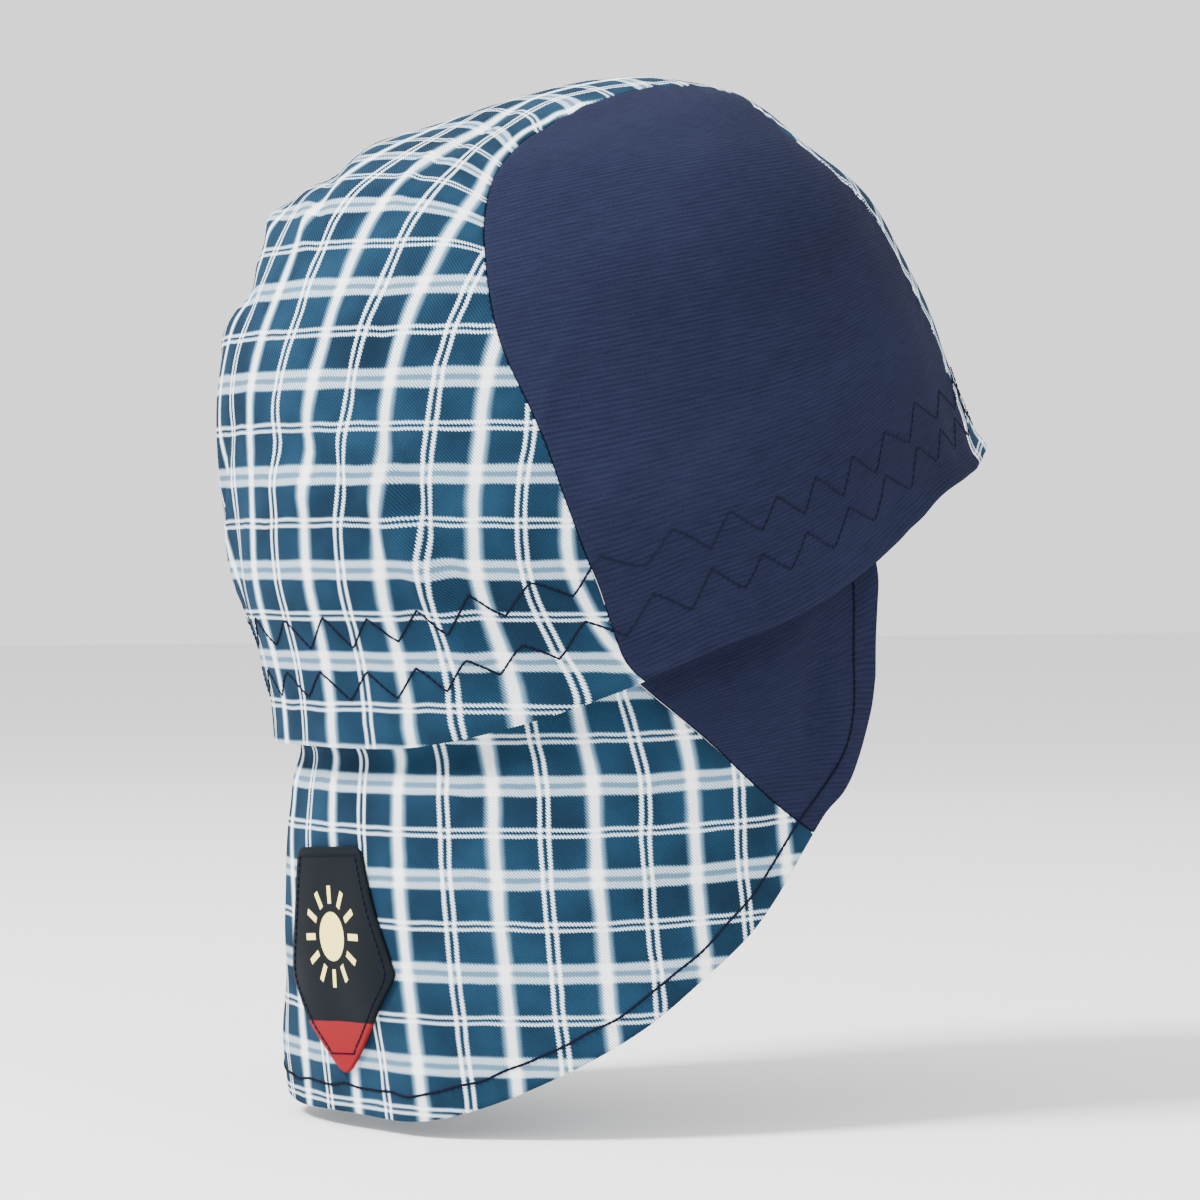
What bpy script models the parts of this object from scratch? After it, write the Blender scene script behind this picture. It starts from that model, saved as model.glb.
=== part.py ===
"""A welder's cap: a cloth crown of three panels, a neck flap of three panels and a patch.

Metres, +Z up. The wearer faces -Y and has the right hand at -X. The origin is the centre
of the head opening, and an azimuth starts at the nape and turns to the wearer's right.
"""

import bpy
import numpy as np

# Head opening and crown
OPENING_WIDTH = 0.156      # across the rim, ear to ear
OPENING_BACK = 0.097       # centre of the opening to the rim at the nape
OPENING_FRONT = 0.104      # centre of the opening to the rim at the forehead
RIM_LIFT = 0.040           # the rim climbs this much to the forehead and falls as much to the nape
CROWN_HEIGHT = 0.138       # centre of the opening to the top
CROWN_CLOTH = 0.0014       # one layer of twill
CROWN_FOLD = 0.0022        # depth of the crown's deepest dent

# Neck flap
FLAP_LENGTH = 0.0975       # below the rim, where the hem hangs lowest
FLAP_TUCK = 0.020          # above the rim, inside the crown
FLAP_REACH = 109.0         # azimuth of the flap's front edges, in degrees
FLAP_CLOTH = 0.0019        # two layers, turned at the hem
FLAP_FOLD = 0.0040         # depth of the flap's deepest fold
FLAP_SEAM = 0.58           # place of the flap's two seams, as a share of its reach

# Patch on the flap, behind the neck
PATCH_HEIGHT = 0.058
PATCH_WIDTH = 0.050
PATCH_THICKNESS = 0.0013
PATCH_DROP = 0.027         # from the rim to its top edge
PATCH_ASIDE = 0.004        # from the middle of the back, towards the wearer's right
PATCH_LEAN = 3.5           # degrees, point towards the wearer's right

# Gaps between pieces that are sewn together
SEAM_GAP = 0.0003
TUCK_GAP = 0.0005          # wider, because facets of both cloths cut the curve

# How finely each sheet of cloth is divided
SEAM_STEPS, STRIP_COLUMNS, SIDE_ROWS = 36, 22, 12
FLAP_ROWS, FLAP_COLUMNS, WEDGE_COLUMNS = 13, 26, 9
PATCH_ROWS, PATCH_COLUMNS = 9, 6


def table(columns, *rows):
    """A table as one array for each named column."""
    return dict(zip(columns.split(), np.array(rows, float).T))


# Rim height, as a share of RIM_LIFT, at azimuths in degrees
RIM = table(
    "azimuth height",
    (0, -0.98),
    (30, -0.95),
    (50, -0.76),
    (64, -0.55),
    (75, -0.35),
    (85, -0.20),
    (95, 0.00),
    (105, 0.24),
    (112, 0.43),
    (120, 0.63),
    (135, 0.81),
    (150, 0.97),
    (180, 1.03),
)

# Rings of the crown from its top (0) to its rim (1): share of the climb, and shares of
# the opening's half width, back and front
RINGS = table(
    "ring climb width back front",
    (0.00, 1.000, 0.00, 0.00, 0.00),
    (0.08, 0.990, 0.19, 0.14, 0.11),
    (0.17, 0.965, 0.40, 0.32, 0.23),
    (0.30, 0.905, 0.63, 0.61, 0.34),
    (0.36, 0.860, 0.74, 0.80, 0.39),
    (0.42, 0.810, 0.85, 0.95, 0.44),
    (0.54, 0.680, 0.99, 1.10, 0.61),
    (0.65, 0.530, 1.05, 1.18, 0.72),
    (0.75, 0.380, 1.08, 1.17, 0.81),
    (0.84, 0.240, 1.08, 1.13, 0.87),
    (0.92, 0.120, 1.05, 1.06, 0.93),
    (1.00, 0.000, 1.00, 1.00, 1.00),
)

# Seams of the crown, which bound its centre panel, from the forehead (-1) over the top to
# the nape (1): half the panel's width, as a share of the ring through that place
SEAM = table(
    "place half",
    (-1.00, 0.66),
    (-0.80, 0.555),
    (-0.55, 0.43),
    (-0.30, 0.33),
    (-0.10, 0.19),
    (0.08, 0.17),
    (0.22, 0.23),
    (0.32, 0.32),
    (0.40, 0.40),
    (0.45, 0.48),
    (0.50, 0.58),
    (0.58, 0.68),
    (0.68, 0.76),
    (0.80, 0.82),
    (0.90, 0.86),
    (1.00, 0.90),
)

# Dents and puffs of the crown: place across (wearer's right is positive) and towards the
# back, reach across and along in the same shares, turn in degrees, share of CROWN_FOLD
CROWN_FOLDS = table(
    "across back wide long turn depth",
    (-0.16, 0.30, 0.05, 0.16, 60, 1.0),
    (-0.30, 0.36, 0.05, 0.14, 55, 0.8),
    (-0.22, 0.42, 0.06, 0.20, 60, -0.8),
    (0.30, 0.62, 0.06, 0.24, 75, -0.7),
    (0.48, 0.70, 0.05, 0.20, 60, 0.6),
    (-0.20, 0.78, 0.05, 0.24, 95, -0.6),
    (0.55, -0.20, 0.12, 0.40, 15, -0.5),
    (-0.55, -0.10, 0.12, 0.40, -15, -0.5),
)

# Plan of the flap below the rim: drop, as a share of FLAP_LENGTH, and shares of the
# opening inside the crown
FLAP_PLAN = table(
    "drop width back front",
    (0.00, 1.000, 1.000, 1.00),
    (0.07, 0.985, 0.985, 0.97),
    (0.25, 0.980, 0.990, 0.95),
    (0.50, 0.985, 0.985, 0.93),
    (0.75, 1.000, 0.970, 0.91),
    (1.00, 1.020, 0.950, 0.89),
)

# Hem: share across the flap, its azimuth in degrees and its drop as a share of FLAP_LENGTH
HEM = table(
    "share azimuth drop",
    (0.00, 0.0, 0.98),
    (0.14, 23.0, 0.978),
    (0.28, 46.0, 0.945),
    (0.42, 70.0, 0.878),
    (0.50, 83.0, 0.79),
    (0.58, 95.0, 0.635),
    (0.68, 101.5, 0.59),
    (0.78, 105.5, 0.535),
    (0.88, 108.0, 0.46),
    (1.00, 109.0, 0.37),
)

# Folds of the flap: azimuth and drop share, reach in degrees and in drop, share of FLAP_FOLD
FLAP_FOLDS = table(
    "azimuth drop wide long depth",
    (3, 0.50, 11, 0.45, -0.50),
    (24, 0.55, 9, 0.50, 0.45),
    (-24, 0.60, 9, 0.50, 0.45),
    (10, 0.98, 12, 0.25, -0.50),
    (-34, 0.85, 10, 0.25, 1.00),
    (100, 0.12, 7, 0.22, -0.60),
    (-100, 0.12, 7, 0.22, -0.60),
    (-75, 0.70, 12, 0.40, 0.50),
)

# Patch: place from its top to its point, and half its width, both as shares
PATCH_SIDES = table(
    "down half",
    (0.00, 0.62),
    (0.57, 1.00),
    (0.78, 0.60),
    (1.00, 0.04),
)

PLAID_BLUE = (0.055, 0.145, 0.235)
NAVY = (0.024, 0.030, 0.085)
BLACK = (0.008, 0.012, 0.016)


def read(rows, name, place):
    """A table's column at a place, on a smooth curve through its rows."""
    at, values = list(rows.values())[0], rows[name]
    slopes = np.gradient(values, at)
    place = np.clip(place, at[0], at[-1])
    i = np.clip(np.searchsorted(at, place, side="right") - 1, 0, len(at) - 2)
    step = at[i + 1] - at[i]
    t = (place - at[i]) / step
    return (
        (2 * t**3 - 3 * t**2 + 1) * values[i]
        + (t**3 - 2 * t**2 + t) * step * slopes[i]
        + (3 * t**2 - 2 * t**3) * values[i + 1]
        + (t**3 - t**2) * step * slopes[i + 1]
    )


def rim_height(azimuth):
    """Height of the rim at an azimuth in radians."""
    turned = np.degrees(np.arccos(np.cos(azimuth)))
    return RIM_LIFT * read(RIM, "height", turned)


def oval(azimuth, half_width, back, front, height):
    """Points of a level oval, given its reach to the side, the back and the front."""
    across = half_width * np.sin(azimuth)
    along = (back - front) / 2 + (back + front) / 2 * np.cos(azimuth)
    return np.stack([-across, along, height + 0 * across], -1)


def normals(surface, first, second, step=1e-4):
    """Outward unit normals of a surface given by two parameters."""
    one = surface(first + step, second) - surface(first - step, second)
    two = surface(first, second + step) - surface(first, second - step)
    out = np.cross(two, one)
    return out / np.linalg.norm(out, axis=-1, keepdims=True)


def smooth_crown(across, back):
    """The crown before its dents, by shares of the ring: 0 at the top and 1 at the rim."""
    ring = np.hypot(across, back)
    azimuth = np.arctan2(across, back)
    climb, width, rear, fore = (read(RINGS, k, ring) for k in ("climb", "width", "back", "front"))
    past = np.maximum(ring - 1, 0)
    rim = rim_height(azimuth)
    height = rim + (CROWN_HEIGHT - rim) * (climb - past)
    return oval(
        azimuth, OPENING_WIDTH / 2 * width, OPENING_BACK * rear, OPENING_FRONT * fore, height
    )


def crown(across, back):
    """The crown's outer face with its dents."""
    depth = 0.0
    for x, y, wide, long, turn, share in zip(*CROWN_FOLDS.values()):
        c, s = np.cos(np.radians(turn)), np.sin(np.radians(turn))
        u = ((across - x) * c - (back - y) * s) / wide
        v = ((across - x) * s + (back - y) * c) / long
        depth = depth + CROWN_FOLD * share * np.exp(-(u**2) - v**2)
    return smooth_crown(across, back) + normals(smooth_crown, across, back) * depth[..., None]


def ring_above(azimuth, above):
    """The crown's ring that lies a height above the rim."""
    rings = np.linspace(1, 0.5, 60)
    climbs = read(RINGS, "climb", rings)
    return np.interp(above / (CROWN_HEIGHT - rim_height(azimuth)), climbs, rings)


def smooth_flap(azimuth, drop):
    """The flap's outer face before its folds: inside the crown, then hanging from the rim."""
    ring = ring_above(azimuth, np.maximum(-drop, 0))
    across, back = ring * np.sin(azimuth), ring * np.cos(azimuth)
    inside = CROWN_CLOTH + TUCK_GAP
    tucked = crown(across, back) - normals(crown, across, back) * inside
    share = np.maximum(drop, 0) / FLAP_LENGTH
    width, rear, fore = (read(FLAP_PLAN, k, share) for k in ("width", "back", "front"))
    hanging = oval(
        azimuth,
        (OPENING_WIDTH / 2 - inside) * width,
        (OPENING_BACK - inside) * rear,
        (OPENING_FRONT - inside) * fore,
        rim_height(azimuth) - drop,
    )
    return np.where((drop < 0)[..., None], tucked, hanging)


def flap(azimuth, drop):
    """The flap's outer face with its folds, by azimuth in radians and drop below the rim."""
    azimuth, drop = np.broadcast_arrays(azimuth, drop)
    depth = 0.0
    share = np.maximum(drop, 0) / FLAP_LENGTH
    for turned, low, wide, long, deep in zip(*FLAP_FOLDS.values()):
        u = (np.degrees(azimuth) - turned) / wide
        v = (share - low) / long
        depth = depth + FLAP_FOLD * deep * np.exp(-(u**2) - v**2)
    depth = depth * np.minimum(share / 0.1, 1)
    return smooth_flap(azimuth, drop) + normals(smooth_flap, azimuth, drop) * depth[..., None]


def flap_place(across, down):
    """A place on the flap, by shares from the middle to a front edge and from top to hem."""
    reach = np.abs(across)
    hem_drop = FLAP_LENGTH * read(HEM, "drop", reach)
    drop = down * (hem_drop + FLAP_TUCK) - FLAP_TUCK
    top = FLAP_REACH * reach
    turned = top + (read(HEM, "azimuth", reach) - top) * np.maximum(drop, 0) / hem_drop
    return flap(np.radians(np.sign(across) * turned), drop)


def edge_shift(curve, value):
    """How far a seam's parameter moves to open half of the seam gap beside the seam."""
    step = 1e-3
    run = np.gradient(curve(value), axis=0)
    run /= np.linalg.norm(run, axis=-1, keepdims=True)
    aside = (curve(value + step) - curve(value - step)) / (2 * step)
    return SEAM_GAP / 2 / np.linalg.norm(np.cross(aside, run), axis=-1)


def even_steps(points, count):
    """Parameters, from 0 to 1, that divide a finely drawn line into equal lengths."""
    run = np.linalg.norm(np.diff(points, axis=0), axis=-1)
    length = np.concatenate([[0], np.cumsum(run)])
    return np.interp(np.linspace(0, length[-1], count), length, np.linspace(0, 1, len(points)))


def seam_places(side):
    """Places along the crown's seam from forehead to nape, beside the centre (-1) or side (1) panel."""

    def curve(value):
        return smooth_crown(value, place * np.sqrt(1 - value**2))

    place = np.linspace(-1, 1, 400)
    place = 2 * even_steps(curve(read(SEAM, "half", place)), SEAM_STEPS + 1) - 1
    half = read(SEAM, "half", place)
    half = half + side * edge_shift(curve, half)
    return half, place * np.sqrt(1 - half**2)


def centre_panel_grid():
    """Rows from forehead to nape, each from the wearer's left to right."""
    half, along = seam_places(-1)
    place = (along / np.sqrt(1 - half**2))[:, None]
    across = np.sin(np.arcsin(half[:, None]) * np.linspace(-1, 1, STRIP_COLUMNS + 1))
    return crown(across, place * np.sqrt(1 - across**2))


def side_panel_grid(side):
    """Rows from the seam out to the rim, between the seam's two ends; side 1 is the wearer's right."""
    across, back = (k[::-1] for k in seam_places(1))
    ends = np.arctan2(across[[0, -1]], back[[0, -1]])
    rim = np.linspace(ends[0], ends[1], SEAM_STEPS + 1)
    out = np.linspace(0, 1, SIDE_ROWS + 1)[:, None]
    across = across + (np.sin(rim) - across) * out
    back = back + (np.cos(rim) - back) * out
    grid = crown(side * across, back)
    return grid if side > 0 else grid[:, ::-1]


def flap_edges(side):
    """The flap's seam as a share across for each row, on its centre panel (-1) or its side (1)."""
    down = np.linspace(0, 1, FLAP_ROWS + 1)
    seam = np.full(FLAP_ROWS + 1, FLAP_SEAM)
    return down, seam + side * edge_shift(lambda value: flap_place(value, down), seam)


def flap_centre_grid():
    """Rows from the tucked edge to the hem, each from the wearer's left to right."""
    down, seam = flap_edges(-1)
    across = seam[:, None] * np.linspace(-1, 1, FLAP_COLUMNS + 1)
    return flap_place(across, down[:, None])


def flap_side_grid(side):
    """The flap's navy wedge between its seam and its front edge."""
    down, seam = flap_edges(1)
    across = seam[:, None] + (1 - seam[:, None]) * np.linspace(0, 1, WEDGE_COLUMNS + 1)
    grid = flap_place(side * across, down[:, None])
    return grid if side > 0 else grid[:, ::-1]


def patch_grid():
    """Rows of the patch from its top edge to its point, laid on the flap."""
    corners = PATCH_SIDES["down"]
    rows = np.unique(np.concatenate([np.linspace(0, 1, PATCH_ROWS + 1), corners]).round(3))
    half = np.interp(rows, corners, PATCH_SIDES["half"]) * PATCH_WIDTH / 2
    aside = half[:, None] * np.linspace(-1, 1, PATCH_COLUMNS + 1)
    below = (rows * PATCH_HEIGHT)[:, None] + 0 * aside
    lean = np.radians(PATCH_LEAN)
    middle = PATCH_HEIGHT / 2
    turned = aside * np.cos(lean) + (below - middle) * np.sin(lean)
    drop = PATCH_DROP + middle + (below - middle) * np.cos(lean) - aside * np.sin(lean)
    azimuth = (PATCH_ASIDE + turned) / (OPENING_WIDTH / 2)
    return flap(azimuth, drop) + normals(flap, azimuth, drop) * SEAM_GAP


def material(name, colour, roughness):
    """A cloth finish."""
    made = bpy.data.materials.new(name)
    made.use_nodes = True
    shader = made.node_tree.nodes["Principled BSDF"]
    shader.inputs["Base Color"].default_value = (*colour, 1)
    shader.inputs["Roughness"].default_value = roughness
    shader.inputs["Metallic"].default_value = 0
    return made


def cloth(name, grid, thickness, finish, collection, offset=-1):
    """A sheet of cloth: its outer face from a grid, and its thickness from Solidify."""
    rows, columns = grid.shape[:2]
    corners, faces = {}, []

    def corner(i, j):
        return corners.setdefault(tuple(np.round(grid[i, j], 6)), len(corners))

    for i in range(rows - 1):
        for j in range(columns - 1):
            face = [corner(i, j), corner(i + 1, j), corner(i + 1, j + 1), corner(i, j + 1)]
            face = list(dict.fromkeys(face))
            if len(face) > 2:
                faces.append(face)
    mesh = bpy.data.meshes.new(name)
    mesh.from_pydata(list(corners), [], faces)
    mesh.shade_smooth()
    mesh.materials.append(finish)
    sheet = bpy.data.objects.new(name, mesh)
    collection.objects.link(sheet)
    wall = sheet.modifiers.new("Wall", "SOLIDIFY")
    wall.thickness = thickness
    wall.offset = offset
    wall.use_even_offset = True
    return sheet


def main():
    """Build the cap."""
    for old in list(bpy.data.objects):
        bpy.data.objects.remove(old)
    cap = bpy.data.collections.new("welding_cap")
    bpy.context.scene.collection.children.link(cap)
    plaid = material("plaid_twill", PLAID_BLUE, 0.85)
    navy = material("navy_twill", NAVY, 0.85)
    black = material("patch_black", BLACK, 0.6)

    cloth("crown_centre", centre_panel_grid(), CROWN_CLOTH, plaid, cap)
    cloth("crown_side_right", side_panel_grid(1), CROWN_CLOTH, navy, cap)
    cloth("crown_side_left", side_panel_grid(-1), CROWN_CLOTH, navy, cap)
    cloth("flap_centre", flap_centre_grid(), FLAP_CLOTH, plaid, cap)
    cloth("flap_side_right", flap_side_grid(1), FLAP_CLOTH, navy, cap)
    cloth("flap_side_left", flap_side_grid(-1), FLAP_CLOTH, navy, cap)
    cloth("flap_patch", patch_grid(), PATCH_THICKNESS, black, cap, offset=1)


main()
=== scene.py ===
"""A welder's cap with a long neck flap, dressed for rendering.

Metres, +Z up. The wearer faces -Y and has the right hand at -X. The origin is the centre of
the head opening, and an azimuth starts at the nape and turns to the wearer's right. The cap's
surface follows the same tables as the part's solids.
"""

import logging
import math
from dataclasses import dataclass
from enum import Enum
from typing import Callable

import bpy
import numpy as np
from mathutils import Matrix, Vector


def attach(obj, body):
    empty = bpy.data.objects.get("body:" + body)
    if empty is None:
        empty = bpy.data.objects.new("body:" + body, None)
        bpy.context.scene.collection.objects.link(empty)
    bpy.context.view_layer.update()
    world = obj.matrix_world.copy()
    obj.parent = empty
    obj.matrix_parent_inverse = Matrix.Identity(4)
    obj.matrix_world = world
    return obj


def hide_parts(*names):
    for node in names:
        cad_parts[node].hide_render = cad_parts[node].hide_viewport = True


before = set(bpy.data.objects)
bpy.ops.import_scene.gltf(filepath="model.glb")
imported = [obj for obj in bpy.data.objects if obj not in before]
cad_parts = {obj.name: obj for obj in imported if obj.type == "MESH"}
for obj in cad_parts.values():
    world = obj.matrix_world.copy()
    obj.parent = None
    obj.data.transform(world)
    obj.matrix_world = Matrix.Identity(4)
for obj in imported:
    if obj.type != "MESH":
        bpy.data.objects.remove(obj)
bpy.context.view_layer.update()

LOG = logging.getLogger("welding_cap")
BODY = "root"
MM = 0.001

Grid = np.ndarray
Surface = Callable[[Grid, Grid], Grid]


class Side(Enum):
    """A side of the cap, as the wearer has it."""

    RIGHT = 1
    LEFT = -1


def table(columns: str, *rows: tuple[float, ...]) -> dict[str, Grid]:
    """A table as one array for each named column."""
    return dict(zip(columns.split(), np.array(rows, float).T))


def read(rows: dict[str, Grid], name: str, place: Grid | float) -> Grid:
    """A table's column at a place, on a smooth curve through its rows.

    Args:
        rows: a table, whose first column is the place.
        name: the column to read.
        place: where to read it.

    Returns:
        The column's values there.
    """
    at, values = list(rows.values())[0], rows[name]
    slopes = np.gradient(values, at)
    place = np.clip(place, at[0], at[-1])
    i = np.clip(np.searchsorted(at, place, side="right") - 1, 0, len(at) - 2)
    step = at[i + 1] - at[i]
    t = (place - at[i]) / step
    return (
        (2 * t**3 - 3 * t**2 + 1) * values[i]
        + (t**3 - 2 * t**2 + t) * step * slopes[i]
        + (3 * t**2 - 2 * t**3) * values[i + 1]
        + (t**3 - t**2) * step * slopes[i + 1]
    )


def unit(vectors: Grid) -> Grid:
    """Vectors of length one."""
    return vectors / np.maximum(np.linalg.norm(vectors, axis=-1, keepdims=True), 1e-12)


def bell(value: Grid) -> Grid:
    """1 at a value of 0, and a soft fall to 0 on both sides."""
    return np.exp(-(value**2))


def ease(share: Grid) -> Grid:
    """A share of 0 to 1 with a soft start and a soft end."""
    return share * share * (3 - 2 * share)


def on_ring(ring: Grid | float, azimuth: Grid) -> tuple[Grid, Grid]:
    """Shares across and towards the back, from a ring of the crown and an azimuth."""
    return ring * np.sin(azimuth), ring * np.cos(azimuth)


def normals(surface: Surface, first: Grid, second: Grid, step: float = 1e-4) -> Grid:
    """Outward unit normals of a surface.

    Args:
        surface: gives points from two parameters.
        first: the first parameter.
        second: the second parameter.
        step: how far each parameter is moved.

    Returns:
        One normal for each point.
    """
    one = surface(first + step, second) - surface(first - step, second)
    two = surface(first, second + step) - surface(first, second - step)
    return unit(np.cross(two, one))


def oval(azimuth: Grid, half_width: Grid, back: Grid, front: Grid, height: Grid) -> Grid:
    """Points of a level oval, given its reach to the side, the back and the front."""
    across = half_width * np.sin(azimuth)
    along = (back - front) / 2 + (back + front) / 2 * np.cos(azimuth)
    return np.stack([-across, along, height + 0 * across], -1)


def run_length(points: Grid, axis: int) -> Grid:
    """Length along a grid's lines from their first point, for every point."""
    steps = np.linalg.norm(np.diff(points, axis=axis), axis=-1)
    start = np.zeros_like(np.take(steps, [0], axis=axis))
    return np.concatenate([start, np.cumsum(steps, axis=axis)], axis=axis)


def even_steps(points: Grid, count: int) -> Grid:
    """Parameters, from 0 to 1, that divide a finely drawn line into equal lengths."""
    length = run_length(points, 0)
    return np.interp(np.linspace(0, length[-1], count), length, np.linspace(0, 1, len(points)))


def ripple(first: Grid, second: Grid, seed: int, count: int, reach: float) -> Grid:
    """Soft random unevenness over two parameters, about -1 to 1.

    Args:
        first: the first parameter.
        second: the second parameter.
        seed: start of the random draw.
        count: how many waves are added.
        reach: the shortest wave, in the parameters' unit.

    Returns:
        The unevenness at each point.
    """
    draw = np.random.default_rng(seed)
    total = 0.0
    for _ in range(count):
        turn, phase = draw.uniform(0, math.pi), draw.uniform(0, 2 * math.pi)
        wave = reach * draw.uniform(1, 3)
        along = first * math.cos(turn) + second * math.sin(turn)
        total = total + np.sin(2 * math.pi * along / wave + phase)
    return total / math.sqrt(count)


# Fine creases of the cloth that the solids are too coarse for: place across and towards the
# back on the crown, reach across and along, turn in degrees, depth in millimetres
CROWN_CREASES = table(
    "across back wide long turn depth",
    (0.44, 0.640, 0.022, 0.16, 80, -3.0), (0.42, 0.690, 0.024, 0.16, 82, 2.2),
    (0.45, 0.745, 0.020, 0.13, 78, -1.5), (0.16, 0.700, 0.020, 0.13, 97, -1.9),
    (0.14, 0.745, 0.020, 0.12, 95, 1.2), (-0.16, 0.34, 0.020, 0.12, 58, -2.6),
    (-0.22, 0.40, 0.020, 0.13, 55, 2.4), (-0.04, 0.40, 0.018, 0.13, 52, -2.0),
    (0.00, 0.45, 0.018, 0.11, 50, 1.5), (-0.22, 0.50, 0.022, 0.14, 64, -2.2),
    (-0.36, 0.50, 0.022, 0.14, 70, 1.9), (0.12, 0.28, 0.018, 0.09, 44, -1.6),
    (0.16, 0.35, 0.018, 0.10, 38, 1.3), (0.30, 0.52, 0.022, 0.12, 40, -1.3),
    (-0.30, 0.71, 0.020, 0.18, 96, -2.0), (-0.32, 0.755, 0.020, 0.16, 96, 1.5),
    (0.62, 0.45, 0.020, 0.20, 20, 0.4), (0.75, -0.05, 0.022, 0.22, 5, -0.5),
    (-0.72, 0.10, 0.022, 0.24, -6, -0.5),
)

# The same for the flap: azimuth in degrees, drop in metres, reach in degrees and in metres,
# lean of the crease in degrees for each metre down, depth in millimetres
FLAP_CREASES = table(
    "azimuth drop wide long lean depth",
    (96, 0.030, 2.4, 0.026, 60, -1.6), (101, 0.034, 2.4, 0.024, 60, 1.1),
    (89, 0.048, 2.6, 0.016, 150, -0.5), (46, 0.075, 3.4, 0.022, -60, -0.5),
    (33, 0.035, 3.6, 0.030, 20, 0.4), (-12, 0.080, 2.6, 0.016, 80, -0.6),
    (-44, 0.050, 3.0, 0.030, 50, -0.6), (-97, 0.032, 2.2, 0.026, -60, -0.8),
)


def dents(rows: dict[str, Grid], across: Grid, back: Grid) -> Grid:
    """Sum of a table's dents at places on the crown, in the unit of their depths."""
    total = 0.0
    for x, y, wide, long, turn, deep in zip(*rows.values()):
        c, s = np.cos(np.radians(turn)), np.sin(np.radians(turn))
        u = ((across - x) * c - (back - y) * s) / wide
        v = ((across - x) * s + (back - y) * c) / long
        total = total + deep * np.exp(-(u**2) - v**2)
    return total


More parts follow.
